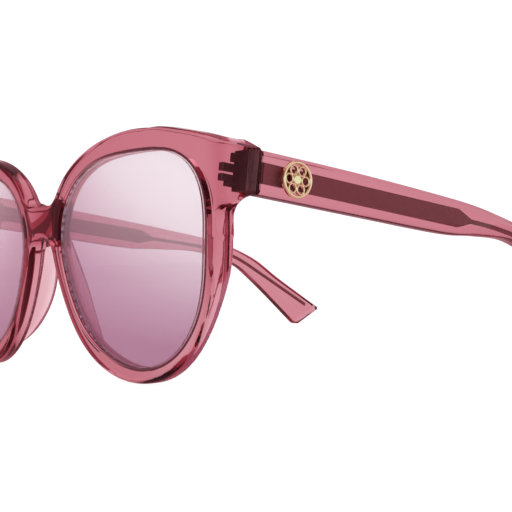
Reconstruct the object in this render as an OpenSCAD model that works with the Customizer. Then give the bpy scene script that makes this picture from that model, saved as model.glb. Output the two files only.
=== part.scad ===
// Cat eye sunglasses in clear tinted acetate, open and resting on a table.
// All sizes in millimetres. X runs to the wearer's left, Y towards the ears, Z up.
// Every module is written in the frame of the upright front: X = 0 between the lenses,
// Y = 0 at the foremost point, Z = 0 at the height of the lens centres.

/* [Front] */
// radius of the bend of the front, seen from above
bend_r = 395; // [250:5:600]
// front to back thickness of the acetate front
front_t = 4.5; // [3.5:0.1:6]
// distance from the middle of the nose to each lens centre
lens_x = 37; // [34:0.5:40]
// angle of the first control radius, up from the temple side
ring_turn = 10; // [0:1:29]
// control radii of the lens opening, every 30 degrees, going over the top
lens_ring = [25, 32.5, 24.5, 23.5, 27, 30, 24.5, 23.5, 22.5, 24.5, 26.5, 26];
// control radii of the outside of the rim, at the same angles
rim_ring = [30.5, 35, 30.5, 28.5, 31, 35.5, 28, 27, 27, 28, 30, 28.5];
// half width of the bridge where it meets the rims
bridge_half = 9; // [6:0.5:12]
// height of the upper edge of the bridge
bridge_top = 14.3; // [10:0.1:18]
// height of the lower edge of the bridge in the middle
bridge_low = 6; // [2:0.1:10]
// thickness of the swell on the back of the bridge
bridge_swell = 2; // [0.5:0.1:4]

/* [End pieces] */
// height where the brow line leaves the rim
brow_z = 29; // [27:0.1:31]
// height of the upper outer corner of the end piece
corner_z = 22.4; // [20:0.1:26]
// height of the lower edge of the end piece
lug_low = 12.9; // [11:0.1:15]
// outside of the rim where the end piece grows from it
lug_root_x = 67.4; // [65:0.1:69]
// fillet under the end piece
lug_fillet = 5.6; // [3:0.1:8]
// foremost outer corner of the end piece
corner_x = 68.2; // [66:0.1:70]
// thickness of the end piece at the joint, measured across
lug_t = 7; // [5:0.1:9]

/* [Lenses] */
// depth of the lens behind the front face
lens_depth = 0.9; // [0.7:0.1:2.5]
// thickness of the lens
lens_t = 1.8; // [1.5:0.1:3]
// how far the lens reaches into its groove
lens_bite = 0.8; // [0.5:0.1:1.5]
// clearance round the lens in the groove
lens_gap = 0.05; // [0.02:0.01:0.1]

/* [Nose pads] */
// depth of the pad behind the rim
pad_deep = 5; // [3:0.1:7]
// highest point of the pad
pad_top = 2; // [0:0.5:5]
// height of the deepest point of the pad
pad_mid = -6; // [-10:0.5:-4]
// lowest point of the pad
pad_end = -21; // [-23:0.5:-18]
// thickness of the pad
pad_t = 2.8; // [1.5:0.1:4]
// flare of the pad towards the cheek, in degrees
pad_flare = 22; // [10:1:40]

/* [Temples] */
// distance from the middle of the nose to the middle of the temple
temple_x = 71; // [68:0.1:75]
// front to back position of the joint
joint_y = 13.4; // [12:0.1:16]
// height of the joint
joint_z = 17.7; // [15:0.1:20]
// slope of the temples below the level of the front, in degrees
slope = 9; // [4:0.5:14]
// thickness of the temple
temple_t = 4.2; // [3:0.1:6]
// gap between the end piece and the temple
joint_gap = 0.12; // [0.05:0.01:0.3]
// upper edge of the temple, distance behind the joint and height
temple_upper = [[0, 4.6], [30, 4.8], [58, 4.4], [75, 3.7], [92, 2.2], [106, -1.6], [118, -8], [136, -16.8]];
// lower edge of the temple, the same way
temple_lower = [[0, -5], [30, -4.8], [58, -4.5], [70, -3.3], [85, -2.2], [98, -4.4], [108, -10], [127, -24]];
// distance behind the joint where the temple starts to bend inwards
bend_from = 60; // [50:1:80]
// distance behind the joint where the inward bend ends
bend_to = 77; // [65:1:95]
// radius of the inward bend
bend_in_r = 100; // [60:5:200]

/* [Metal core] */
// thickness of the core across the temple
core_t = 1; // [0.8:0.1:1.6]
// end of the wide blade behind the joint
blade_to = 62.5; // [50:0.5:75]
// height of the wide blade
blade_h = 4.5; // [3:0.1:6]
// height of the thin wire
wire_h = 1.1; // [0.8:0.1:2]
// middle of the thin wire, distance behind the joint and height
wire_path = [[67.5, -0.1], [80, -0.1], [90, -0.6], [100, -2.4], [112, -7.6], [130, -16]];

/* [Hinges] */
// distance of the hinge axis from the middle of the temple, towards the head
axis_in = 3.4; // [3:0.1:4]
// radius of the knuckles
knuckle_r = 1.3; // [1:0.05:1.6]
// height of one knuckle
knuckle_h = 1.2; // [1:0.1:1.6]
// thickness of the leaf buried in the end piece
leaf_t = 1.2; // [0.8:0.1:1.6]
// radius of the screw
screw_r = 0.7; // [0.5:0.05:0.9]
// running clearance of the metal parts
run_gap = 0.05; // [0.02:0.01:0.1]

/* [Badges] */
// radius of the badge
badge_r = 4.05; // [3:0.05:5]
// distance of the badge behind the joint
badge_s = 9.4; // [7:0.1:14]
// height of the badge on the temple
badge_z = -0.2; // [-1:0.1:1]
// thickness of the badge
badge_t = 1; // [0.6:0.1:1.5]
// number of petals
petals = 6; // [5:1:8]

/* [Hidden] */
eps = 0.02;
steps = 96;
rest_lean = 0.78;
rest_lift = 27.95;
rest_back = 72.75;
acetate = [0.78, 0.42, 0.48];
metal = [0.45, 0.18, 0.22];
gold = [0.83, 0.74, 0.48];
lens_tint = [0.8, 0.7, 0.78];

// ---- curves ----

function spline_w(t) = [pow(1 - t, 3) / 6, (3 * t * t * t - 6 * t * t + 4) / 6,
                        (-3 * t * t * t + 3 * t * t + 3 * t + 1) / 6, t * t * t / 6];

// radius of a closed smooth ring at one angle
function ring_r(ring, ang) =
    let (count = len(ring), turn = (ang - ring_turn + 360) % 360 * count / 360, i = floor(turn), w = spline_w(turn - i))
    w[0] * ring[(i + count - 1) % count] + w[1] * ring[i % count]
    + w[2] * ring[(i + 1) % count] + w[3] * ring[(i + 2) % count];

function ring_point(ring, ang, grow) = (ring_r(ring, ang) + grow) * [cos(ang), sin(ang)];

function ring_shape(ring, grow = 0) =
    [for (k = [0 : steps - 1]) ring_point(ring, k * 360 / steps, grow)];

// smooth open curve through a few points
function along(p, i, t) =
    let (a = p[max(i - 1, 0)], b = p[i], c = p[i + 1], d = p[min(i + 2, len(p) - 1)])
    0.5 * (2 * b + (c - a) * t + (2 * a - 5 * b + 4 * c - d) * t * t + (3 * b - a - 3 * c + d) * t * t * t);

function smooth(p, count = 6) = concat(
    [for (i = [0 : len(p) - 2], k = [0 : count - 1]) along(p, i, k / count)], [p[len(p) - 1]]);

function arc(centre, r, from, to, count) =
    [for (k = [0 : count]) let (a = from + (to - from) * k / count) centre + r * [cos(a), sin(a)]];

function back(list) = [for (k = [len(list) - 1 : -1 : 0]) list[k]];

// how deep the bent front face lies at one distance from the middle
function face_y(x) = bend_r - sqrt(bend_r * bend_r - x * x);

// ---- placing ----

// the finished glasses rest on both rims and both temple tips
module resting() {
    translate([0, -rest_back, rest_lift]) rotate([-rest_lean, 0, 0]) children();
}

// side is 1 for the wearer's left and -1 for the right
module on_side(side) {
    mirror([side < 0 ? 1 : 0, 0, 0]) children();
}

// frame of a temple: X across (outwards), Y along the temple, Z across its height
module at_joint() {
    translate([temple_x, joint_y, joint_z]) rotate([-slope, 0, 0]) children();
}

// extrudes a shape drawn in X and Z from one depth to another
module through(from, to) {
    translate([0, to, 0]) rotate([90, 0, 0]) linear_extrude(to - from) children();
}

// extrudes a shape drawn along the temple and up, across the temple
module across(half) {
    rotate([0, 0, 90]) rotate([90, 0, 0]) translate([0, 0, -half]) linear_extrude(2 * half) children();
}

// extrudes a shape drawn in Y and Z sideways, from one distance to another
module across_x(from, to) {
    rotate([0, 0, 90]) rotate([90, 0, 0]) translate([0, 0, from]) linear_extrude(to - from) children();
}

// bent sheet between two depths behind the front face
module bent_sheet(near, far) {
    translate([0, bend_r, -40]) difference() {
        cylinder(r = bend_r - near, h = 80, $fn = 200);
        translate([0, 0, -1]) cylinder(r = bend_r - far, h = 82, $fn = 200);
    }
}

// ---- front ----

module rim_outline() {
    translate([lens_x, 0]) polygon(ring_shape(rim_ring));
}

module lens_outline(grow) {
    translate([lens_x, 0]) polygon(ring_shape(lens_ring, grow));
}

module bridge_outline() {
    polygon(concat(
        [[-bridge_half, bridge_top], [-bridge_half, bridge_low - 3]],
        back(arc([0, bridge_low - 6], 6, 60, 120, 8)),
        [[bridge_half, bridge_low - 3], [bridge_half, bridge_top]]));
}

// brow line, outer edge and the fillet under the end piece
module lug_outline() {
    outer_x = temple_x + temple_t / 2;
    polygon(concat(
        smooth([[42, brow_z - 1], [48, brow_z + 0.3], [56, brow_z - 1], [64, brow_z - 3], [outer_x, corner_z]], 5),
        [[outer_x, lug_low]],
        arc([outer_x, lug_low - lug_fillet], lug_fillet, 90, 180, 8),
        [[lug_root_x, lug_low - lug_fillet - 2], [58, lug_low - lug_fillet - 2], [56, 18], [42, 24]]));
}

module lug_plan() {
    outer_x = temple_x + temple_t / 2;
    polygon([[corner_x - 8, face_y(60) + 0.3], [corner_x, face_y(corner_x) + 0.3],
             [outer_x, joint_y - 1.2], [outer_x, joint_y + 6], [outer_x - lug_t, joint_y + 6],
             [outer_x - lug_t, joint_y - 2], [outer_x - lug_t - 4, face_y(62) + front_t - 0.5]]);
}

// underside of the end piece, sweeping down into the back of the rim
module lug_side() {
    centre = [joint_y + 0.5, lug_low - lug_fillet];
    polygon(concat([[0, 40], [20, 40], [20, lug_low]],
        arc(centre, lug_fillet, 90, 180, 10), [[0, lug_low - lug_fillet]]));
}

module lug() {
    intersection() {
        through(0, 30) lug_outline();
        linear_extrude(30) lug_plan();
        across_x(50, 80) lug_side();
    }
}

// everything outside the end piece, from its foremost corner to the joint
module outside_lug() {
    outer_x = temple_x + temple_t / 2;
    lean = atan2(outer_x - corner_x, joint_y - 1.2 - face_y(corner_x));
    translate([corner_x, face_y(corner_x), -40]) rotate([0, 0, -lean]) translate([0, -30, 0]) cube([20, 60, 80]);
}

// room for the buried leaf and for the knuckles
module hinge_room() {
    at_joint() {
        front_leaf(run_gap);
        knuckle_room();
        translate([-20, -joint_gap / 2, -13]) cube([30, 30, 40]);
    }
}

module knuckle_room() {
    translate([-axis_in, 0, -3.9]) cylinder(r = knuckle_r + 0.25, h = 7.8, $fn = 48);
    translate([-axis_in - 3, -knuckle_r - 0.25, -3.9]) cube([3, 2 * knuckle_r + 0.5, 7.8]);
}

// upright cylinder whose side swells from the back of the bridge
module bridge_back() {
    r = (pow(bridge_half, 2) + pow(bridge_swell, 2)) / (2 * bridge_swell);
    translate([0, front_t + bridge_swell - r, -40]) cylinder(r = r, h = 80, $fn = 160);
}

module front_half() {
    difference() {
        union() {
            intersection() {
                through(-1, 30) union() {
                    rim_outline();
                    lug_outline();
                }
                bent_sheet(0, front_t);
            }
            lug();
        }
        through(-2, 40) lens_outline(0);
        intersection() {
            through(-2, 40) lens_outline(lens_bite + lens_gap);
            bent_sheet(lens_depth - lens_gap, lens_depth + lens_t + lens_gap);
        }
        outside_lug();
        hinge_room();
    }
}

module front_frame() {
    color(acetate) resting() {
        on_side(1) front_half();
        on_side(-1) front_half();
        intersection() {
            through(-1, 30) difference() {
                bridge_outline();
                lens_outline(2);
                mirror([1, 0]) lens_outline(2);
            }
            bent_sheet(0, front_t);
        }
        intersection() {
            through(front_t - 0.5, 30) bridge_outline();
            bridge_back();
        }
    }
}

module lens(side) {
    color(lens_tint) resting() on_side(side) intersection() {
        through(-2, 40) lens_outline(lens_bite);
        bent_sheet(lens_depth, lens_depth + lens_t);
    }
}

// strip along the nose side of the rim
module pad_strip() {
    turns = [for (k = [0 : 20]) 162 + k * 4];
    translate([lens_x, 0]) polygon(concat(
        [for (a = turns) ring_point(rim_ring, a, -0.4)],
        back([for (a = turns) ring_point(rim_ring, a, -0.4 - pad_t)])));
}

// depth of the pad behind the rim, seen from the side
module pad_profile() {
    y = front_t;
    polygon(concat(
        smooth([[y, pad_top], [y + pad_deep * 0.8, pad_mid / 3], [y + pad_deep, pad_mid],
                [y + pad_deep * 0.8, pad_mid - 6], [y + 1, pad_end]], 5),
        [[0, pad_end], [0, pad_top]]));
}

// fin on the back of the rim, flared towards the cheek
module nose_pad(side) {
    hold = [lens_x + ring_point(rim_ring, 195, 0)[0], front_t, 0];
    color(acetate) resting() on_side(side) difference() {
        intersection() {
            translate(hold) rotate([0, 0, -pad_flare]) translate(-hold) through(0, 20) pad_strip();
            across_x(0, 40) pad_profile();
        }
        bent_sheet(-30, front_t + eps);
    }
}

// ---- hinges ----

module knuckle(low, high, bore) {
    translate([-axis_in, 0, low]) difference() {
        cylinder(r = knuckle_r, h = high - low, $fn = 48);
        translate([0, 0, -1]) cylinder(r = bore, h = high - low + 2, $fn = 32);
    }
}

// plate, heel and prongs buried in the end piece; grow gives the room they need
module front_leaf(grow) {
    inside = -axis_in - leaf_t / 2;
    for (bit = [[inside, 1, -2.7, -1.5, -4.4, 4.2], [-1.9, 1.4, -1.7, -0.4, -4.4, 4.2],
                [inside, inside + leaf_t, -3.8, -2.6, 1.7, 3.6], [inside, inside + leaf_t, -6.3, -2.6, -0.5, 1.2],
                [inside, inside + leaf_t, -6.3, -2.6, -2.6, -1.1], [inside, inside + leaf_t, -4.9, -2.6, -3.6, -2.5]])
        translate([bit[0] - grow, bit[2] - grow, bit[4] - grow])
            cube([bit[1] - bit[0] + 2 * grow, bit[3] - bit[2] + 2 * grow, bit[5] - bit[4] + 2 * grow]);
}

// arm from the leaf to one knuckle
module front_arm(low, high) {
    translate([-axis_in, 0, low]) difference() {
        translate([-leaf_t / 2, -1.6, 0]) cube([leaf_t, 1.6, high - low]);
        translate([0, 0, -1]) cylinder(r = screw_r + run_gap, h = high - low + 2, $fn = 32);
    }
}

module front_hinge(side) {
    color(metal) resting() on_side(side) at_joint() {
        front_leaf(0);
        for (band = [-2, 0, 2]) {
            low = (band - 0.5) * knuckle_h * 1.04;
            knuckle(low, low + knuckle_h, screw_r + run_gap);
            front_arm(low, low + knuckle_h);
        }
    }
}

module temple_arm(low, high) {
    translate([-axis_in, 0, low]) difference() {
        translate([0, 0.3, 0]) cube([axis_in, 1, high - low]);
        translate([0, 0, -1]) cylinder(r = screw_r + run_gap, h = high - low + 2, $fn = 32);
    }
}

module temple_hinge(side) {
    color(metal) resting() on_side(side) at_joint() {
        for (band = [-1, 1]) {
            low = (band - 0.5) * knuckle_h * 1.04;
            knuckle(low, low + knuckle_h, screw_r + run_gap);
            temple_arm(low, low + knuckle_h);
        }
        translate([-axis_in + 1.6, 0.3, -2.2]) cube([axis_in - 1.6 + core_t / 2, 1, 4.4]);
    }
}

module hinge_screw(side) {
    top = 2.5 * knuckle_h * 1.04 + 0.1;
    color(metal) resting() on_side(side) at_joint() translate([-axis_in, 0, 0]) difference() {
        union() {
            translate([0, 0, -top]) cylinder(r = screw_r, h = 2 * top, $fn = 32);
            translate([0, 0, top]) cylinder(r = knuckle_r - 0.1, h = 0.5, $fn = 40);
        }
        translate([-3, -0.15, top + 0.25]) cube([6, 0.3, 1]);
    }
}

// ---- temples ----

// middle line of a temple seen from above: distance along, distance inwards
function inward(s) =
    let (turn = asin((bend_to - bend_from) / bend_in_r))
    s <= bend_from ? 0
    : s <= bend_to ? bend_in_r - sqrt(bend_in_r * bend_in_r - pow(s - bend_from, 2))
    : bend_in_r * (1 - cos(turn)) + (s - bend_to) * tan(turn);

// strip seen from above, half as wide as given to each side of the middle line
module plan_strip(from, to, half) {
    stops = concat([from], [for (k = [0 : 8]) let (s = bend_from + (bend_to - bend_from) * k / 8) s], [to]);
    polygon(concat(
        [for (s = stops) [half - inward(s), s]],
        back([for (s = stops) [-half - inward(s), s]])));
}

module temple_profile() {
    tip = temple_upper[len(temple_upper) - 1];
    heel = temple_lower[len(temple_lower) - 1];
    polygon(concat(
        smooth(temple_upper),
        arc(tip + [-0.2, -1.3], 1.3, 50, -30, 4),
        smooth([tip + [0.4, -3.1], tip + [-3.2, -5.6], heel + [0.7, -0.1]], 3),
        back(smooth(temple_lower))));
}

// side view of the metal core: blade, arrow and wire
module core_profile(grow) {
    wire = smooth(wire_path, 4);
    half = wire_h / 2 + grow;
    polygon(concat(
        [[1.4 - grow, blade_h / 2 - 0.2 + grow], [blade_to, blade_h / 2 + grow]],
        [for (p = wire) p + [0, half]],
        [wire[len(wire) - 1] + [1.2 + grow, -0.3]],
        back([for (p = wire) p - [0, half]]),
        [[blade_to, -blade_h / 2 - grow], [1.4 - grow, -blade_h / 2 - 0.3 - grow]]));
}

module core(grow) {
    intersection() {
        across(30) core_profile(grow);
        translate([0, 0, -40]) linear_extrude(80) plan_strip(0, 140, core_t / 2 + grow);
    }
}

module core_wire(side) {
    color(metal) resting() on_side(side) at_joint() core(0);
}

// room for the hinge arms at the front end of the temple
module arm_room() {
    translate([-axis_in, -1, -2.2 - run_gap]) cube([axis_in + core_t / 2 + run_gap, 2.4 + run_gap, 4.4 + 2 * run_gap]);
}

module temple(side) {
    color(acetate) resting() on_side(side) at_joint() difference() {
        intersection() {
            across(30) temple_profile();
            translate([0, 0, -40]) linear_extrude(80) plan_strip(-1, 140, temple_t / 2);
        }
        translate([-20, -30 + joint_gap / 2, -12]) cube([30, 30, 24]);
        core(run_gap);
        arm_room();
        knuckle_room();
        badge_pins(run_gap);
    }
}

// ---- badges ----

module badge_pins(grow) {
    for (turn = [0, 180])
        translate([temple_t / 2 + 0.1, badge_s, badge_z]) rotate([turn, 0, 0]) translate([0, 0, badge_r - 0.4])
            rotate([0, -90, 0]) cylinder(r = 0.3 + grow, h = 1.1 + grow, $fn = 24);
}

module annulus(outer, inner, height) {
    difference() {
        cylinder(r = outer, h = height, $fn = 72);
        translate([0, 0, -1]) cylinder(r = inner, h = height + 2, $fn = 72);
    }
}

// ring with an open rosette of small loops round a button
module badge(side) {
    loop_r = (badge_r - 0.7) / (1 + sin(180 / petals)) * sin(180 / petals) + 0.08;
    color(gold) resting() on_side(side) at_joint() {
        translate([temple_t / 2 + eps, badge_s, badge_z]) rotate([0, 90, 0]) {
            annulus(badge_r, badge_r - 0.7, badge_t);
            for (k = [0 : petals - 1]) rotate(k * 360 / petals) translate([badge_r - 0.6 - loop_r, 0, 0])
                annulus(loop_r, loop_r - 0.45, badge_t - 0.2);
            cylinder(r = badge_r - 0.5 - 2 * loop_r, h = badge_t - 0.1, $fn = 40);
        }
        badge_pins(0);
    }
}

front_frame();
lens(1);  // left_lens
lens(-1);  // right_lens
nose_pad(1);  // left_nose_pad
nose_pad(-1);  // right_nose_pad
front_hinge(1);  // left_front_hinge
front_hinge(-1);  // right_front_hinge
temple_hinge(1);  // left_temple_hinge
temple_hinge(-1);  // right_temple_hinge
hinge_screw(1);  // left_hinge_screw
hinge_screw(-1);  // right_hinge_screw
core_wire(1);  // left_core_wire
core_wire(-1);  // right_core_wire
temple(1);  // left_temple
temple(-1);  // right_temple
badge(1);  // left_badge
badge(-1);  // right_badge
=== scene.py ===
"""Looks of the cat eye sunglasses: clear burgundy acetate, gradient mirror lenses and a gilt badge.

The shapes are worked out in millimetres in the frame of the upright front, as the CAD does:
X = 0 between the lenses, Y = 0 at the foremost point, Z = 0 at the height of the lens centres.
place() then lays them down in the row frame, in metres.
"""

import math

import bmesh
import bpy
import numpy as np
from mathutils import Matrix, Vector


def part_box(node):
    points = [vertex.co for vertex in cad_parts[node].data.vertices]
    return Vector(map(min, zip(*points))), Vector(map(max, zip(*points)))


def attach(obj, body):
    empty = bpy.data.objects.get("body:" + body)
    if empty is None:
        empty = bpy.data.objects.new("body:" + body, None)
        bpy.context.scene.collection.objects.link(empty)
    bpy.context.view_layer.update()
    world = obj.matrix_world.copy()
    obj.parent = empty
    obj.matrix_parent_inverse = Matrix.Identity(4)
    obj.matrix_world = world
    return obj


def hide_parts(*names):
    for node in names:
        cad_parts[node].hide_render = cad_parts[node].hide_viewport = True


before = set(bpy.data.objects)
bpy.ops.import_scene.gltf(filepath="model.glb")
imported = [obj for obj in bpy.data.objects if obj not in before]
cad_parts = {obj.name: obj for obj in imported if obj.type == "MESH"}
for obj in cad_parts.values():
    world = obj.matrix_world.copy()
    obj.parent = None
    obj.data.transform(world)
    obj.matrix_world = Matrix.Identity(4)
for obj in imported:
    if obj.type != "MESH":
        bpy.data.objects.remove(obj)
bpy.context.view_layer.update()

MM = 0.001
SHARP_ANGLE = 35

# ---- driving dimensions, in millimetres and degrees ----

REST_LEAN = 0.78
REST_LIFT = 27.95
REST_BACK = 72.75

BEND_R = 395
FRONT_T = 4.5
LENS_X = 37
RING_TURN = 10
LENS_RING = np.array([25, 32.5, 24.5, 23.5, 27, 30, 24.5, 23.5, 22.5, 24.5, 26.5, 26])
RIM_RING = np.array([30.5, 35, 30.5, 28.5, 31, 35.5, 28, 27, 27, 28, 30, 28.5])
BRIDGE_TOP = 14.3
BRIDGE_LOW = 6
BRIDGE_BOW = 0.045
BRIDGE_HALF = 12
SWELL = 2
SWELL_HALF = 9
BROW = [(42, 28), (48, 29.3), (56, 28), (64, 26), (73.1, 22.4)]
LUG_LOW = 12.9
LUG_FILLET = 5.6
LUG_T = 7
CORNER_X = 68.2
EDGE_R = 1.4
BACK_EDGE_R = 0.6
LENS_EDGE_R = 0.25

LENS_DEPTH = 0.9
LENS_T = 1.8
LENS_BITE = 0.8
EDGE_FROM = 0.25
GAP = 0.05

TEMPLE_X = 71
TEMPLE_T = 4.2
JOINT_Y = 13.4
JOINT_Z = 17.7
JOINT_GAP = 0.12
SLOPE = 9
TEMPLE_UPPER = [(0, 4.6), (30, 4.8), (58, 4.4), (75, 3.7), (92, 2.2), (106, -1.6), (118, -8), (136, -16.8)]
TEMPLE_LOWER = [(0, -5), (30, -4.8), (58, -4.5), (70, -3.3), (85, -2.2), (98, -4.4), (108, -10), (127, -24)]
BEND_FROM = 60
BEND_TO = 77
BEND_IN_R = 100
TEMPLE_EDGE_R = 1.2
TIP_R = 1.7
TIP_ROUND = [(TIP_R * math.sin(a), TIP_R * (1 - math.cos(a))) for a in np.arange(0, 1.6, 0.25)]

CORE_T = 1
BLADE_TO = 62.5
BLADE_H = 4.5
WIRE_H = 1.1
WIRE_PATH = [(67.5, -0.1), (80, -0.1), (90, -0.6), (100, -2.4), (112, -7.6), (130, -16)]
HATCH_PITCH = 0.75
HATCH_DEPTH = 0.07
HATCH_SLANT = 2.4

AXIS_IN = 3.4
KNUCKLE_R = 1.3
KNUCKLE_H = 1.2
KNUCKLE_ROOM = 0.25
ROOM_HALF = 3.9
LEAF_T = 1.2
SCREW_R = 0.7

BADGE_R = 4.05
BADGE_S = 9.4
BADGE_Z = -0.2
BADGE_T = 1
PETALS = 6

OUTER_X = TEMPLE_X + TEMPLE_T / 2

# ---- placing ----


def place(points):
    """Points of the upright front in millimetres, as row frame metres."""
    lean = math.radians(-REST_LEAN)
    turn = np.array(Matrix.Rotation(lean, 3, "X"))
    return (np.asarray(points, float) @ turn.T + [0, -REST_BACK, REST_LIFT]) * MM


def to_joint(x, y, z):
    """Temple coordinates: across (outwards), along the temple, and up its height."""
    c, s = math.cos(math.radians(SLOPE)), math.sin(math.radians(SLOPE))
    y, z = y - JOINT_Y, z - JOINT_Z
    return x - TEMPLE_X, c * y - s * z, s * y + c * z


def from_joint(points):
    """Temple coordinates back to those of the upright front."""
    c, s = math.cos(math.radians(SLOPE)), math.sin(math.radians(SLOPE))
    x, y, z = np.asarray(points, float).T
    return np.stack([x + TEMPLE_X, c * y + s * z + JOINT_Y, -s * y + c * z + JOINT_Z], 1)


def solid_object(name, points, faces, side=1):
    """A closed mesh laid down in the row frame, with its normals outwards."""
    mesh = bpy.data.meshes.new(name)
    mesh.from_pydata(place(np.array(points) * [side, 1, 1]).tolist(), [], faces)
    shape = bmesh.new()
    shape.from_mesh(mesh)
    bmesh.ops.recalc_face_normals(shape, faces=shape.faces)
    shape.to_mesh(mesh)
    shape.free()
    obj = bpy.data.objects.new(name, mesh)
    bpy.context.scene.collection.objects.link(obj)
    return obj


def carve(obj, cutters):
    """Takes the cutters out of obj's mesh, then deletes them."""
    for cutter in cutters:
        cut = obj.modifiers.new("cut", "BOOLEAN")
        cut.object = cutter
        cut.operation = "DIFFERENCE"
        cut.solver = "EXACT"
    graph = bpy.context.evaluated_depsgraph_get()
    carved = bpy.data.meshes.new_from_object(obj.evaluated_get(graph))
    obj.modifiers.clear()
    obj.data = carved
    for cutter in cutters:
        bpy.data.objects.remove(cutter)


def finish_piece(obj, body, replaced, material):
    """Smooth shading, material, body and the CAD node that the piece stands for."""
    obj.data.shade_smooth()
    obj.data.set_sharp_from_angle(angle=math.radians(SHARP_ANGLE))
    obj.data.materials.clear()
    obj.data.materials.append(material)
    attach(obj, body)
    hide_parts(replaced)
    return obj


# ---- curves ----


def spline(points, count):
    """Smooth open curve through a few points (Catmull-Rom)."""
    p = np.array([points[0], *points, points[-1]], float)
    out = []
    for i in range(len(points) - 1):
        a, b, c, d = p[i : i + 4]
        for t in np.arange(count) / count:
            out.append(0.5 * (2 * b + (c - a) * t + (2 * a - 5 * b + 4 * c - d) * t * t
                              + (3 * b - a - 3 * c + d) * t ** 3))
    out.append(p[-1])
    return np.array(out)


def ring_radius(angle, ring):
    """Radius of a closed smooth ring and its slope per radian, at angles in degrees."""
    count = len(ring)
    turn = (angle - RING_TURN) % 360 * count / 360
    i = np.floor(turn).astype(int)
    t = turn - i
    weights = [(1 - t) ** 3 / 6, (3 * t ** 3 - 6 * t * t + 4) / 6,
               (-3 * t ** 3 + 3 * t * t + 3 * t + 1) / 6, t ** 3 / 6]
    slopes = [-((1 - t) ** 2) / 2, (9 * t * t - 12 * t) / 6, (-9 * t * t + 6 * t + 3) / 6, t * t / 2]
    radii = [ring[(i + k - 1) % count] for k in range(4)]
    radius = sum(w * r for w, r in zip(weights, radii))
    slope = sum(w * r for w, r in zip(slopes, radii)) * count / (2 * math.pi)
    return radius, slope


def inward(s):
    """How far the middle of a temple has bent towards the head."""
    turn = math.asin((BEND_TO - BEND_FROM) / BEND_IN_R)
    s = np.asarray(s, float)
    bent = np.clip(s - BEND_FROM, 0, BEND_TO - BEND_FROM)
    bow = BEND_IN_R - np.sqrt(BEND_IN_R ** 2 - bent ** 2)
    return bow + np.maximum(s - BEND_TO, 0) * math.tan(turn)


def face_y(x):
    """Depth of the bent front face at a distance from the middle."""
    return BEND_R - math.sqrt(BEND_R ** 2 - x * x)


# ---- solids as distance functions: negative inside, positive outside ----


def both(a, b, radius=0.0):
    """Where two solids overlap, with that edge rounded."""
    if not radius:
        return np.maximum(a, b)
    edge = np.hypot(np.maximum(a + radius, 0), np.maximum(b + radius, 0))
    return np.minimum(-radius, np.maximum(a, b)) + edge


def either(a, b, radius=0.0):
    """Two solids joined, with a fillet between them."""
    if not radius:
        return np.minimum(a, b)
    fillet = np.hypot(np.maximum(radius - a, 0), np.maximum(radius - b, 0))
    return np.maximum(radius, np.minimum(a, b)) - fillet


def block(x, y, z, low, high, radius=0.1):
    """Box between two corners, with rounded edges."""
    sides = [np.abs(v - (a + b) / 2) - (b - a) / 2 for v, a, b in zip((x, y, z), low, high)]
    return both(both(sides[0], sides[1], radius), sides[2], radius)


def rod(x, y, z, r, low, high, radius=0.1):
    """Upright cylinder with rounded ends."""
    return both(np.hypot(x, y) - r, np.abs(z - (low + high) / 2) - (high - low) / 2, radius)


def ring_distance(x, z, ring):
    """Distance from a ring round a lens centre, in the plane of the front."""
    radius, slope = ring_radius(np.degrees(np.arctan2(z, x)), ring)
    return (np.hypot(x, z) - radius) / np.hypot(1, slope / radius)


def net_points(sdf, low, high, pitch):
    """Points and quads of the surface where sdf is zero, from one point in each cell it crosses."""
    axes = [np.arange(math.floor(a / pitch) - 1, math.ceil(b / pitch) + 2) * pitch for a, b in zip(low, high)]
    x, y, z = np.meshgrid(*axes, indexing="ij", sparse=True)
    field = sdf(x, y, z) + np.zeros([len(a) for a in axes])
    cells = np.array(field.shape)
    flat = cells.prod()
    stride = np.array([cells[1] * cells[2], cells[2], 1])
    total = np.zeros((flat, 3))
    count = np.zeros(flat)
    quads = []
    for axis in range(3):
        a = np.moveaxis(field, axis, 0)[:-1]
        b = np.moveaxis(field, axis, 0)[1:]
        where = np.argwhere((a < 0) != (b < 0))
        value_a = a[tuple(where.T)]
        value_b = b[tuple(where.T)]
        order = [axis] + [k for k in range(3) if k != axis]
        index = np.empty_like(where)
        index[:, order] = where
        crossing = index.astype(float)
        crossing[:, axis] += value_a / (value_a - value_b)
        u, v = stride[(axis + 1) % 3], stride[(axis + 2) % 3]
        home = index @ stride
        corners = np.stack([home, home - u, home - u - v, home - v], 1)
        for column in corners.T:
            count += np.bincount(column, minlength=flat)
            for k in range(3):
                total[:, k] += np.bincount(column, weights=crossing[:, k], minlength=flat)
        outwards = value_a < 0
        corners[~outwards] = corners[~outwards][:, ::-1]
        quads.append(corners)
    used = np.flatnonzero(count)
    number = np.full(flat, -1)
    number[used] = np.arange(len(used))
    points = total[used] / count[used, None] * pitch + [a[0] for a in axes]
    return points, number[np.concatenate(quads)]


def skin(sdf, low, high, pitch):
    """The net of sdf, drawn onto its exact surface."""
    points, quads = net_points(sdf, low, high, pitch)
    step = pitch * 0.05
    for _ in range(3):
        x, y, z = points.T
        value = sdf(x, y, z)
        slope = np.stack([
            sdf(x + step, y, z) - sdf(x - step, y, z),
            sdf(x, y + step, z) - sdf(x, y - step, z),
            sdf(x, y, z + step) - sdf(x, y, z - step)], 1) / (2 * step)
        move = slope * (value / np.maximum((slope ** 2).sum(1), 0.2))[:, None]
        length = np.linalg.norm(move, axis=1, keepdims=True)
        points = points - move * np.minimum(1, pitch * 0.4 / np.maximum(length, 1e-9))
    return points, quads.tolist()


# ---- lofts ----


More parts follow.
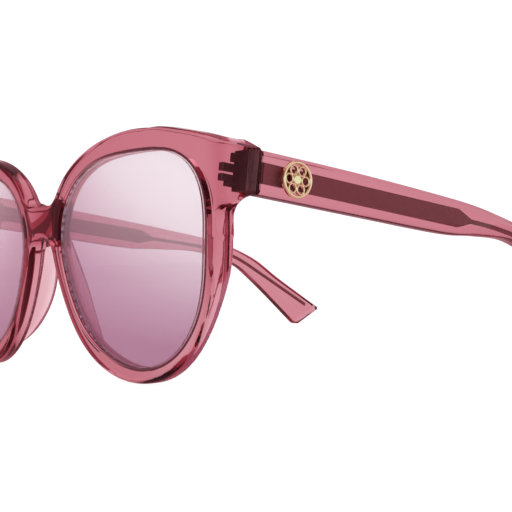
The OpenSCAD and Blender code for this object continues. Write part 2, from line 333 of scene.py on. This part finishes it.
def loft(sections):
    """Points and faces of a closed tube through sections of equal length, with flat ends."""
    sections = np.array(sections, float)
    count, around = sections.shape[:2]
    faces = []
    for i in range(count - 1):
        for j in range(around):
            a, b = i * around + j, i * around + (j + 1) % around
            faces.append((a, b, b + around, a + around))
    faces.append(tuple(range(around - 1, -1, -1)))
    faces.append(tuple(range((count - 1) * around, count * around)))
    return sections.reshape(-1, 3), faces


def round_box(width, height, radius, corner=6, flat=4):
    """Outline of a rectangle with round corners, anticlockwise, with points along its sides too."""
    out = []
    centres = [(1, 1), (-1, 1), (-1, -1), (1, -1)]
    for k, (sx, sz) in enumerate(centres):
        centre = np.array([sx * (width / 2 - radius), sz * (height / 2 - radius)])
        for j in range(corner):
            a = math.radians(90 * (k + j / (corner - 1)))
            out.append(centre + radius * np.array([math.cos(a), math.sin(a)]))
        ahead = centres[(k + 1) % 4]
        a = math.radians(90 * (k + 1))
        start = out[-1]
        end = np.array([ahead[0] * (width / 2 - radius), ahead[1] * (height / 2 - radius)])
        end = end + radius * np.array([math.cos(a), math.sin(a)])
        for j in range(1, flat):
            out.append(start + (end - start) * j / flat)
    return np.array(out)


# ---- front ----


def brow_height(x):
    """Height of the brow line over the end piece, and its slope."""
    line = spline(BROW, 12)
    height = np.interp(x, line[:, 0], line[:, 1])
    slope = np.interp(x, (line[1:, 0] + line[:-1, 0]) / 2, np.diff(line[:, 1]) / np.diff(line[:, 0]))
    return height, slope


def lug_outline(x, z):
    """Seen from the front: under the brow line, inside the outer edge, above the fillet."""
    height, slope = brow_height(x)
    top = (z - height) / np.hypot(1, slope)
    under = LUG_FILLET - np.hypot(np.minimum(x - OUTER_X, 0), np.maximum(z - LUG_LOW + LUG_FILLET, 0))
    shape = both(both(top, x - OUTER_X, 1.0), under, 0.6)
    return both(both(shape, LUG_LOW - LUG_FILLET - 3 - z), 42 - x)


def front_outline(x, z):
    """The whole front without its lens openings, in its own plane."""
    rim = ring_distance(x - LENS_X, z, RIM_RING)
    shape = either(rim, lug_outline(x, z), 0.3)
    low = BRIDGE_LOW - BRIDGE_BOW * x * x
    bridge = both(both(z - BRIDGE_TOP, low - z), x - BRIDGE_HALF)
    return either(shape, bridge, 2.5)


def lug_behind(x, y, z):
    """Inner side and underside of the end piece, sweeping down into the back of the rim."""
    inner_x = OUTER_X - LUG_T
    ramp = math.atan2(JOINT_Y - 2 - face_y(62) - FRONT_T, 4)
    slant = (y - JOINT_Y + 2) * math.cos(ramp) - (x - inner_x) * math.sin(ramp)
    inner = either(inner_x - x, slant, 1.5)
    sweep = np.hypot(np.minimum(y - JOINT_Y - 0.5, 0), np.maximum(z - LUG_LOW + LUG_FILLET, 0))
    under = both(LUG_FILLET - sweep, LUG_LOW - LUG_FILLET - z)
    return both(both(inner, under, 0.6), 54 - x)


def bridge_back(x, y, z):
    """Upright swell on the back of the bridge."""
    r = (SWELL_HALF ** 2 + SWELL ** 2) / (2 * SWELL)
    swell = np.hypot(x, y - FRONT_T - SWELL + r) - r
    return both(swell, both(z - BRIDGE_TOP - 1, BRIDGE_LOW - 2 - z))


def front_solid(x, y, z):
    """The whole front, closed at the joint plane and open round the knuckles."""
    x = np.abs(x)
    depth = BEND_R - np.hypot(x, BEND_R - y)
    behind = either(either(depth - FRONT_T, bridge_back(x, y, z), 0.4), lug_behind(x, y, z), 0.8)
    solid = both(both(front_outline(x, z), -depth, EDGE_R), behind, BACK_EDGE_R)
    across, along, up = to_joint(x, y, z)
    lean = math.atan2(OUTER_X - CORNER_X, JOINT_Y - 1.2 - face_y(CORNER_X))
    outside = (x - CORNER_X) * math.cos(lean) - (y - face_y(CORNER_X)) * math.sin(lean)
    solid = both(solid, outside, 0.7)
    solid = both(solid, along + JOINT_GAP / 2, 0.3)
    knuckles = both(np.hypot(across + AXIS_IN, along) - KNUCKLE_R - KNUCKLE_ROOM, np.abs(up) - ROOM_HALF)
    room_low = (-AXIS_IN - 4, -KNUCKLE_R - KNUCKLE_ROOM, -ROOM_HALF)
    room_high = (-AXIS_IN, KNUCKLE_R + KNUCKLE_ROOM, ROOM_HALF)
    room = block(across, along, up, room_low, room_high)
    return both(solid, -either(knuckles, room))


def lens_rings(rows):
    """Sections round a lens centre; a row is a share of the lens radius, an extra radius and a depth."""
    angles = np.arange(0, 360, 2)
    radius = ring_radius(angles, LENS_RING)[0]
    sections = []
    for share, extra, depth in rows:
        r = radius * share + extra
        x = LENS_X + r * np.cos(np.radians(angles))
        y = BEND_R - np.sqrt((BEND_R - depth) ** 2 - x * x)
        sections.append(np.stack([x, y, r * np.sin(np.radians(angles))], 1))
    return sections


def lens_opening():
    """Cutter for the opening and its groove, flared where it meets both faces."""
    bends = np.radians([0, 20, 40, 60, 90])
    flare = [(LENS_EDGE_R * (1 - math.sin(a)), LENS_EDGE_R * (1 - math.cos(a))) for a in bends]
    near, far = LENS_DEPTH - GAP, LENS_DEPTH + LENS_T + GAP
    deep = LENS_BITE + GAP
    rows = [(1, LENS_EDGE_R, -3)] + [(1, out, depth) for out, depth in flare]
    rows += [(1, 0, near), (1, deep, near), (1, deep, far), (1, 0, far)]
    rows += [(1, out, FRONT_T - depth) for out, depth in reversed(flare)] + [(1, LENS_EDGE_R, FRONT_T + 5)]
    return loft(lens_rings(rows))


def lens_sheet():
    """Bent lens in rings from its centre, reaching just into the groove."""
    near, far = LENS_DEPTH, LENS_DEPTH + LENS_T
    shares = [0.02, 0.15, 0.3, 0.45, 0.6, 0.75, 0.88, 0.96]
    rows = [(k, 0, near) for k in shares] + [(1, EDGE_FROM, near), (1, EDGE_FROM, far)]
    rows += [(k, 0, far) for k in reversed(shares)]
    return loft(lens_rings(rows))


def lens_edge():
    """Bevelled edge of the lens, hidden in the groove: a closed ring."""
    bevel = 0.2
    near, far = LENS_DEPTH, LENS_DEPTH + LENS_T
    rows = [(1, EDGE_FROM, near), (1, LENS_BITE - bevel, near), (1, LENS_BITE, near + bevel),
            (1, LENS_BITE, far - bevel), (1, LENS_BITE - bevel, far), (1, EDGE_FROM, far)]
    points, faces = loft(lens_rings(rows))
    around = len(points) // len(rows)
    last = (len(rows) - 1) * around
    closing = [(last + j, last + (j + 1) % around, (j + 1) % around, j) for j in range(around)]
    return points, faces[:-2] + closing


# ---- nose pads ----

PAD_FROM = 166
PAD_TO = 238
PAD_DEEP = 5
PAD_T = 2.8
PAD_FLARE = 22


def nose_fin():
    """Fin along the nose side of the rim, deepest at two fifths of its length and flared to the cheek."""
    flare = math.radians(PAD_FLARE)
    out = np.array([-math.sin(flare), math.cos(flare), 0])
    sections = []
    for t in np.linspace(0, 1, 41):
        angle = np.array([PAD_FROM + (PAD_TO - PAD_FROM) * t])
        radius = ring_radius(angle, RIM_RING)[0][0] - 0.5 - PAD_T / 2
        a = math.radians(angle[0])
        x, z = LENS_X + radius * math.cos(a), radius * math.sin(a)
        y = BEND_R - math.sqrt((BEND_R - FRONT_T - 0.02) ** 2 - x * x)
        swell = math.sin(math.pi * t ** 0.75) ** 0.7 if 0 < t < 1 else 0
        deep = max(PAD_DEEP * swell, 0.05)
        half = PAD_T / 2 * min(1, 0.25 + 1.2 * swell)
        along = np.array([math.cos(a), 0, math.sin(a)])
        ring = []
        for k in np.linspace(0, math.pi, 17):
            ring.append([x, y, z] + along * half * math.cos(k) + out * deep * math.sin(k) ** 0.8)
        for k in np.linspace(-1, 1, 7)[1:-1]:
            ring.append([x, y, z] + along * half * k)
        sections.append(ring)
    return loft(sections)


# ---- temples ----


def heading(path, i):
    """Unit direction of a path at one of its points."""
    step = path[min(i + 1, len(path) - 1)] - path[max(i - 1, 0)]
    return step / np.linalg.norm(step)


def temple_bar():
    """Bar between the upper and lower curves, bent inwards behind the ear."""
    upper = spline(TEMPLE_UPPER, 16)
    lower = spline(TEMPLE_LOWER, 16)
    stops = [(0, JOINT_GAP / 2, 0.22), (0, JOINT_GAP / 2 + 0.22, 0)]
    stops += [(i, 0, 0) for i in range(2, len(upper) - 2)]
    stops += [(len(upper) - 1, reach - TIP_R, inset) for reach, inset in TIP_ROUND]
    sections = []
    for i, reach, inset in stops:
        top = upper[i] + heading(upper, i) * reach
        low = lower[i] + heading(lower, i) * reach
        rise = (top - low) / np.linalg.norm(top - low)
        height = np.linalg.norm(top - low) - 2 * inset
        corner_r = min(max(TEMPLE_EDGE_R - inset, 0.4), TEMPLE_T / 2 - inset)
        outline = round_box(TEMPLE_T - 2 * inset, height, corner_r)
        along = (top + low) / 2 + outline[:, 1:] * rise
        sections.append(np.stack([outline[:, 0] - inward(along[:, 0]), along[:, 0], along[:, 1]], 1))
    points, faces = loft(sections)
    return from_joint(points), faces


def core_strip():
    """Metal core: a blade cut with fine slanted ribs, drawn down to a wire."""
    wire = spline(WIRE_PATH, 8)
    blade = np.arange(1.4, BLADE_TO + 0.01, 0.25)
    middle = [(s, -0.05 * (1 - s / BLADE_TO), BLADE_H) for s in blade]
    taper = np.linspace(0, 1, 8)[1:-1]
    reach, drop, thin = wire[0][0] - BLADE_TO, wire[0][1], WIRE_H - BLADE_H
    middle += [(BLADE_TO + reach * t, drop * t, BLADE_H + thin * t) for t in taper]
    middle += [(s, h, WIRE_H) for s, h in wire]
    sections = []
    for s, h, height in middle:
        outline = round_box(CORE_T, height, 0.25, corner=3, flat=18)
        tall = outline[:, 1] + h
        rib = np.abs((s / HATCH_SLANT + tall) / HATCH_PITCH % 1 - 0.5) * 2
        ribbed = (np.abs(outline[:, 1]) < height / 2 - 0.3) & (height > BLADE_H - 0.1)
        across = outline[:, 0] - np.sign(outline[:, 0]) * HATCH_DEPTH * rib * ribbed
        sections.append(np.stack([across - inward(s), np.full(len(tall), s), tall], 1))
    points, faces = loft(sections)
    return from_joint(points), faces


# ---- hinges, screws and badges, in temple coordinates ----

PRONGS = [(-3.8, -2.6, 1.7, 3.6), (-6.3, -2.6, -0.5, 1.2),
          (-6.3, -2.6, -2.6, -1.1), (-4.9, -2.6, -3.6, -2.5)]
LEAF_LOW = -4.4
LEAF_HIGH = 4.2
ARM_FROM = 0.3
ARM_TO = 1.3
STEP_H = KNUCKLE_H * 1.04


def front_hinge_solid(x, y, z):
    """Plate and prongs buried in the end piece, and three knuckles."""
    wall = block(x, y, z, (-AXIS_IN - LEAF_T / 2, -2.7, LEAF_LOW), (1, -1.5, LEAF_HIGH))
    heel = block(x, y, z, (-1.9, -1.7, LEAF_LOW), (1.4, -0.4, LEAF_HIGH))
    solid = either(wall, heel, 0.1)
    x = x + AXIS_IN
    for start, end, low, high in PRONGS:
        prong = block(x, y, z, (-LEAF_T / 2, start, low), (LEAF_T / 2, end, high))
        solid = either(solid, prong, 0.1)
    for band in (-2.5, -0.5, 1.5):
        low = band * STEP_H
        arm = block(x, y, z, (-LEAF_T / 2, -1.8, low), (LEAF_T / 2, 0, low + KNUCKLE_H))
        barrel = rod(x, y, z, KNUCKLE_R, low, low + KNUCKLE_H, 0.15)
        solid = either(solid, either(arm, barrel, 0.1), 0.1)
    return both(solid, SCREW_R + GAP - np.hypot(x, y))


def temple_hinge_solid(x, y, z):
    """Two knuckles on arms that reach the metal core."""
    x = x + AXIS_IN
    solid = block(x, y, z, (1.6, ARM_FROM, -2.2), (AXIS_IN + CORE_T / 2, ARM_TO, 2.2))
    for band in (-1.5, 0.5):
        low = band * STEP_H
        arm = block(x, y, z, (0, ARM_FROM, low), (AXIS_IN, ARM_TO, low + KNUCKLE_H))
        barrel = rod(x, y, z, KNUCKLE_R, low, low + KNUCKLE_H, 0.15)
        solid = either(solid, either(arm, barrel, 0.1), 0.1)
    return both(solid, SCREW_R + GAP - np.hypot(x, y))


def screw_solid(x, y, z):
    """Slotted screw through the knuckles."""
    x = x + AXIS_IN
    top = 2.5 * STEP_H + 0.1
    shank = rod(x, y, z, SCREW_R, -top, top + 0.1, 0.12)
    head = rod(x, y, z, KNUCKLE_R - 0.1, top, top + 0.5, 0.2)
    slot = both(np.abs(y) - 0.15, top + 0.25 - z)
    return both(either(shank, head), -slot)


def badge_solid(x, y, z):
    """Ring round an open rosette of small loops and a button, on the outer face of the temple."""
    x = x - TEMPLE_T / 2 - 0.02
    y, z = y - BADGE_S, z - BADGE_Z
    out = np.hypot(y, z)
    wide = 0.35
    middle = BADGE_R - wide
    solid = both(np.abs(out - middle) - wide, np.abs(x - BADGE_T / 2) - BADGE_T / 2, 0.25)
    loop = (BADGE_R - 0.7) / (1 + math.sin(math.pi / PETALS)) * math.sin(math.pi / PETALS) + 0.08
    reach = BADGE_R - 0.6 - loop
    petal_t = BADGE_T - 0.2
    turn = np.arctan2(z, y)
    sector = 2 * math.pi / PETALS
    turn = (turn + sector / 2) % sector - sector / 2
    petal = np.abs(np.hypot(out * np.cos(turn) - reach, out * np.sin(turn)) - loop + 0.22) - 0.22
    petal = both(petal, np.abs(x - petal_t / 2) - petal_t / 2, 0.18)
    button = both(out - reach + loop - 0.12, np.abs(x - petal_t / 2) - petal_t / 2, 0.3)
    return either(either(solid, petal, 0.08), button, 0.08)


# ---- materials ----

LENS_TINTS = [(0.1, (0.5, 0.26, 0.38)), (0.29, (0.63, 0.41, 0.53)), (0.47, (0.78, 0.62, 0.7)),
              (0.62, (0.89, 0.79, 0.85)), (0.82, (0.95, 0.87, 0.92))]


def shader(name):
    """A new material, its node tree and its Principled node."""
    material = bpy.data.materials.new(name)
    material.use_nodes = True
    tree = material.node_tree
    return material, tree, tree.nodes["Principled BSDF"]


def add(tree, kind, **values):
    """A node with its sockets set by name."""
    node = tree.nodes.new(kind)
    for key, value in values.items():
        node.inputs[key.replace("_", " ")].default_value = value
    return node


def fine_bump(tree, principled, scale, strength, distance):
    """Faint unevenness of a polished surface."""
    place_at = add(tree, "ShaderNodeTexCoord")
    noise = add(tree, "ShaderNodeTexNoise", Scale=scale, Detail=3.0)
    bump = add(tree, "ShaderNodeBump", Strength=strength, Distance=distance)
    tree.links.new(place_at.outputs["Object"], noise.inputs["Vector"])
    tree.links.new(noise.outputs["Fac"], bump.inputs["Height"])
    tree.links.new(bump.outputs["Normal"], principled.inputs["Normal"])
    return noise


def acetate():
    """Clear burgundy acetate: its colour comes from how much of it light crosses."""
    material, tree, p = shader("acetate")
    p.inputs["Base Color"].default_value = (1, 1, 1, 1)
    p.inputs["Transmission Weight"].default_value = 1
    p.inputs["IOR"].default_value = 1.49
    p.inputs["Specular Tint"].default_value = (0.6, 0.25, 0.3, 1)
    noise = fine_bump(tree, p, 90, 0.04, 0.0004)
    rough = add(tree, "ShaderNodeMapRange", To_Min=0.015, To_Max=0.05)
    tree.links.new(noise.outputs["Fac"], rough.inputs["Value"])
    tree.links.new(rough.outputs["Result"], p.inputs["Roughness"])
    tint = add(tree, "ShaderNodeVolumeAbsorption", Color=(0.664, 0.017, 0.153, 1), Density=340.0)
    tree.links.new(tint.outputs[0], tree.nodes["Material Output"].inputs["Volume"])
    return material


def mirror_lens():
    """Rose lens whose tint deepens downwards and which is made darker still towards the nose, with a slight
    mirror sheen.
    """
    material, tree, p = shader("lens")
    low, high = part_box("left_lens")
    where = add(tree, "ShaderNodeTexCoord")
    split = add(tree, "ShaderNodeSeparateXYZ")
    height = add(tree, "ShaderNodeMapRange", From_Min=low.z, From_Max=high.z)
    outwards = tree.nodes.new("ShaderNodeMath")
    outwards.operation = "ABSOLUTE"
    # scales the gradient down towards the nose, so the lens is darker there
    fade = add(tree, "ShaderNodeMapRange", From_Min=low.x, From_Max=high.x, To_Min=0.42, To_Max=1.08)
    level = tree.nodes.new("ShaderNodeMath")
    level.operation = "MULTIPLY"
    ramp = tree.nodes.new("ShaderNodeValToRGB")
    stops = ramp.color_ramp.elements
    stops[0].position = LENS_TINTS[0][0]
    stops[1].position = LENS_TINTS[-1][0]
    for position, _ in LENS_TINTS[1:-1]:
        stops.new(position)
    for stop, (_, colour) in zip(stops, LENS_TINTS):
        stop.color = (*colour, 1)
    tree.links.new(where.outputs["Object"], split.inputs[0])
    tree.links.new(split.outputs["Z"], height.inputs["Value"])
    tree.links.new(split.outputs["X"], outwards.inputs[0])
    tree.links.new(outwards.outputs[0], fade.inputs["Value"])
    tree.links.new(height.outputs["Result"], level.inputs[0])
    tree.links.new(fade.outputs["Result"], level.inputs[1])
    tree.links.new(level.outputs[0], ramp.inputs["Fac"])
    tree.links.new(ramp.outputs["Color"], p.inputs["Base Color"])
    p.inputs["Metallic"].default_value = 0.05
    p.inputs["Transmission Weight"].default_value = 0.8
    p.inputs["IOR"].default_value = 1.5
    p.inputs["Roughness"].default_value = 0.02
    return material


def edge_colour_and_groove_shade():
    """Matt burgundy of the ground lens edge, darkened to stand in for the shade in the groove: partly the
    edge's own colour, partly painted shade.
    """
    material, tree, p = shader("lens_edge")
    noise = fine_bump(tree, p, 1200, 0.2, 0.0001)
    tone = tree.nodes.new("ShaderNodeValToRGB")
    # dark burgundy ramp: the ground edge's own colour, made deeper with painted shade of the groove
    tone.color_ramp.elements[0].color = (0.12, 0.015, 0.03, 1)
    tone.color_ramp.elements[1].color = (0.18, 0.03, 0.05, 1)
    tree.links.new(noise.outputs["Fac"], tone.inputs["Fac"])
    tree.links.new(tone.outputs["Color"], p.inputs["Base Color"])
    p.inputs["Roughness"].default_value = 0.6
    return material


def metal(name, colour, dark, rough_low, rough_high, scale):
    """Metal whose tone and polish vary a little."""
    material, tree, p = shader(name)
    noise = fine_bump(tree, p, scale, 0.08, 0.0001)
    tone = tree.nodes.new("ShaderNodeValToRGB")
    tone.color_ramp.elements[0].position = 0.3
    tone.color_ramp.elements[0].color = (*dark, 1)
    tone.color_ramp.elements[1].position = 0.7
    tone.color_ramp.elements[1].color = (*colour, 1)
    rough = add(tree, "ShaderNodeMapRange", To_Min=rough_low, To_Max=rough_high)
    tree.links.new(noise.outputs["Fac"], tone.inputs["Fac"])
    tree.links.new(noise.outputs["Fac"], rough.inputs["Value"])
    tree.links.new(tone.outputs["Color"], p.inputs["Base Color"])
    tree.links.new(rough.outputs["Result"], p.inputs["Roughness"])
    p.inputs["Metallic"].default_value = 1
    return material


ACETATE = acetate()
LENS = mirror_lens()
# lens edge material: its own burgundy plus painted shade of the groove
LENS_EDGE_AND_SHADE = edge_colour_and_groove_shade()
CORE = metal("core_metal", (0.37, 0.17, 0.18), (0.33, 0.15, 0.16), 0.4, 0.5, 900)
STEEL = metal("hinge_steel", (0.24, 0.11, 0.12), (0.19, 0.08, 0.09), 0.5, 0.65, 700)
GOLD = metal("gold", (0.95, 0.9, 0.56), (0.86, 0.8, 0.45), 0.08, 0.18, 500)

# ---- pieces ----


def around_joint(sdf, low, high, pitch):
    """Skin of a solid given in temple coordinates."""
    points, faces = skin(sdf, low, high, pitch)
    return from_joint(points), faces


def piece(name, points, faces, side, body, replaced, slot, material):
    """One finished piece on the left (side 1) or mirrored to the right (side -1)."""
    finish_piece(solid_object(name, points, faces, side), body, replaced, material)


FRONT_PITCH = 0.4
HINGE_PITCH = 0.11
SCREW_PITCH = 0.1
BADGE_PITCH = 0.09

front_skin = skin(front_solid, (-74, -0.6, -29), (74, 14.5, 30.5), FRONT_PITCH)
front = solid_object("front_frame_acetate", *front_skin)
opening = lens_opening()
carve(front, [solid_object("opening", *opening, side) for side in (1, -1)])
finish_piece(front, "front", "front_frame", ACETATE)

leaf = around_joint(front_hinge_solid, (-AXIS_IN - 1.5, -6.6, -4.6), (1.6, 1.5, 4.4), HINGE_PITCH)
arms = around_joint(temple_hinge_solid, (-AXIS_IN - 1.5, -1.5, -2.6), (0.8, 1.6, 2.6), HINGE_PITCH)
screw = around_joint(screw_solid, (-AXIS_IN - 1.4, -1.4, -3.4), (-AXIS_IN + 1.4, 1.4, 4.0), SCREW_PITCH)
badge = around_joint(badge_solid, (TEMPLE_T / 2 - 0.1, BADGE_S - 4.2, BADGE_Z - 4.2),
                     (TEMPLE_T / 2 + 1.2, BADGE_S + 4.2, BADGE_Z + 4.2), BADGE_PITCH)
lens_mesh = lens_sheet()
lens_ring = lens_edge()
fin = nose_fin()
bar = temple_bar()
strip = core_strip()

for side, word in ((1, "left"), (-1, "right")):
    arm = word + "_temple_arm"
    piece(word + "_lens_film", *lens_mesh, side, "front", word + "_lens", "lens", LENS)
    # the lens edge carries the painted groove shade
    piece(word + "_lens_edge", *lens_ring, side, "front", word + "_lens", None, LENS_EDGE_AND_SHADE)
    piece(word + "_pad_fin", *fin, side, "front", word + "_nose_pad", "acetate", ACETATE)
    piece(word + "_temple_bar", *bar, side, arm, word + "_temple", "acetate", ACETATE)
    piece(word + "_core_strip", *strip, side, arm, word + "_core_wire", "core_metal", CORE)
    piece(word + "_hinge_leaf", *leaf, side, "front", word + "_front_hinge", "hinge_steel", STEEL)
    piece(word + "_hinge_arms", *arms, side, arm, word + "_temple_hinge", "hinge_steel", STEEL)
    piece(word + "_screw_slotted", *screw, side, "front", word + "_hinge_screw", "hinge_steel", STEEL)
    piece(word + "_badge_rosette", *badge, side, arm, word + "_badge", "gold", GOLD)

# ---- stage: pale floor, soft light and the camera ----

BACKDROP = (-0.996, 0.087, 0.0)
WHITE = 1.1
DIM = 0.85
FLOOR_GLOW = 0.95
ROSE_CARD = (0.55, 0.2, 0.26, 1)
FRONT_CARD = (-0.78, -0.62, 0.0)
FLOOR_RADII = (0.02, 0.5, 2)
CAMERA_AT = (251.14, -202.74, 29.99)
AZIMUTH = 51.55
ELEVATION = 0.51
ROLL = -2.29
FOCAL_LENGTH = 77.57


def rose_reflection(tree, amount=None):
    """White, turned to rose by amount (all of it if None) for rays mirrored off a polished surface."""
    rays = tree.nodes.new("ShaderNodeLightPath")
    mirrored = tree.nodes.new("ShaderNodeMath")
    mirrored.operation = "MULTIPLY"
    factor = tree.nodes.new("ShaderNodeMath")
    factor.operation = "MULTIPLY"
    card = tree.nodes.new("ShaderNodeMixRGB")
    card.inputs["Color1"].default_value = (1, 1, 1, 1)
    card.inputs["Color2"].default_value = ROSE_CARD
    tree.links.new(rays.outputs["Is Glossy Ray"], mirrored.inputs[0])
    tree.links.new(rays.outputs["Is Reflection Ray"], mirrored.inputs[1])
    tree.links.new(mirrored.outputs[0], factor.inputs[0])
    factor.inputs[1].default_value = 1
    if amount:
        tree.links.new(amount, factor.inputs[1])
    tree.links.new(factor.outputs[0], card.inputs["Fac"])
    return card.outputs["Color"]


def studio():
    """White backdrop, a little less light from the other sides, and rose above and ahead in reflections."""
    scene = bpy.context.scene
    scene.view_settings.view_transform = "Standard"
    scene.cycles.max_bounces = 24
    scene.cycles.transmission_bounces = 20
    scene.cycles.glossy_bounces = 8
    world = bpy.data.worlds.new("studio")
    scene.world = world
    world.use_nodes = True
    tree = world.node_tree
    where = add(tree, "ShaderNodeTexCoord")
    facing = tree.nodes.new("ShaderNodeVectorMath")
    facing.operation = "DOT_PRODUCT"
    facing.inputs[1].default_value = BACKDROP
    glow = add(tree, "ShaderNodeMapRange", From_Min=-0.1, From_Max=0.5, To_Min=DIM, To_Max=WHITE)
    glow.interpolation_type = "SMOOTHSTEP"
    rays = tree.nodes.new("ShaderNodeLightPath")
    seen = add(tree, "ShaderNodeMapRange", To_Max=WHITE)
    strength = tree.nodes.new("ShaderNodeMath")
    strength.operation = "MAXIMUM"
    split = add(tree, "ShaderNodeSeparateXYZ")
    ceiling = add(tree, "ShaderNodeMapRange", From_Min=0.12, From_Max=0.4)
    ceiling.interpolation_type = "SMOOTHSTEP"
    ahead = tree.nodes.new("ShaderNodeVectorMath")
    ahead.operation = "DOT_PRODUCT"
    ahead.inputs[1].default_value = FRONT_CARD
    front_card = add(tree, "ShaderNodeMapRange", From_Min=0.0, From_Max=0.5)
    front_card.interpolation_type = "SMOOTHSTEP"
    cards = tree.nodes.new("ShaderNodeMath")
    cards.operation = "MAXIMUM"
    tree.links.new(where.outputs["Generated"], facing.inputs[0])
    tree.links.new(where.outputs["Generated"], split.inputs[0])
    tree.links.new(facing.outputs["Value"], glow.inputs["Value"])
    tree.links.new(split.outputs["Z"], ceiling.inputs["Value"])
    tree.links.new(where.outputs["Generated"], ahead.inputs[0])
    tree.links.new(ahead.outputs["Value"], front_card.inputs["Value"])
    tree.links.new(ceiling.outputs["Result"], cards.inputs[0])
    tree.links.new(front_card.outputs["Result"], cards.inputs[1])
    tree.links.new(rays.outputs["Is Camera Ray"], seen.inputs["Value"])
    tree.links.new(glow.outputs["Result"], strength.inputs[0])
    tree.links.new(seen.outputs["Result"], strength.inputs[1])
    backing = tree.nodes["Background"]
    tree.links.new(strength.outputs[0], backing.inputs["Strength"])
    tree.links.new(rose_reflection(tree, cards.outputs[0]), backing.inputs["Color"])


def floor():
    """Round glowing floor that reaches past the view; polished surfaces mirror it in rose."""
    turns = np.radians(np.arange(0, 360, 5))
    verts = [(r * math.cos(a), r * math.sin(a), 0) for r in FLOOR_RADII for a in turns]
    count = len(turns)
    faces = []
    for inner in range(0, len(verts) - count, count):
        outer = inner + count
        for j in range(count):
            k = (j + 1) % count
            faces.append((inner + j, inner + k, outer + k, outer + j))
    faces.append(tuple(range(count)))
    mesh = bpy.data.meshes.new("floor")
    mesh.from_pydata(verts, [], faces)
    material, tree, p = shader("floor_paper")
    p.inputs["Base Color"].default_value = (0.1, 0.1, 0.1, 1)
    p.inputs["Roughness"].default_value = 0.9
    p.inputs["Specular IOR Level"].default_value = 0
    p.inputs["Emission Strength"].default_value = FLOOR_GLOW
    tree.links.new(rose_reflection(tree), p.inputs["Emission Color"])
    mesh.materials.append(material)
    obj = bpy.data.objects.new("floor", mesh)
    bpy.context.scene.collection.objects.link(obj)


def softbox(name, where, target, width, height, power):
    """Rectangular area light aimed at a point."""
    light = bpy.data.lights.new(name, "AREA")
    light.shape = "RECTANGLE"
    light.size = width
    light.size_y = height
    light.energy = power
    obj = bpy.data.objects.new(name, light)
    obj.location = where
    obj.rotation_mode = "QUATERNION"
    obj.rotation_quaternion = (Vector(target) - Vector(where)).to_track_quat("-Z", "Y")
    bpy.context.scene.collection.objects.link(obj)


def camera():
    """Three-quarter view from the wearer's left, nearly level with the lenses, tipped a little."""
    data = bpy.data.cameras.new("camera")
    data.sensor_width = 36
    data.lens = FOCAL_LENGTH
    data.clip_start = 0.01
    obj = bpy.data.objects.new("camera", data)
    obj.location = Vector(CAMERA_AT) * MM
    turn = Matrix.Rotation(math.radians(AZIMUTH), 4, "Z")
    turn = turn @ Matrix.Rotation(math.radians(90 - ELEVATION), 4, "X")
    turn = turn @ Matrix.Rotation(math.radians(ROLL), 4, "Z")
    obj.rotation_euler = turn.to_euler()
    bpy.context.scene.collection.objects.link(obj)
    bpy.context.scene.camera = obj


studio()
floor()
softbox("top", (0.0, 0.0, 1.4), (0, 0, 0), 1.4, 1.4, 5)
camera()
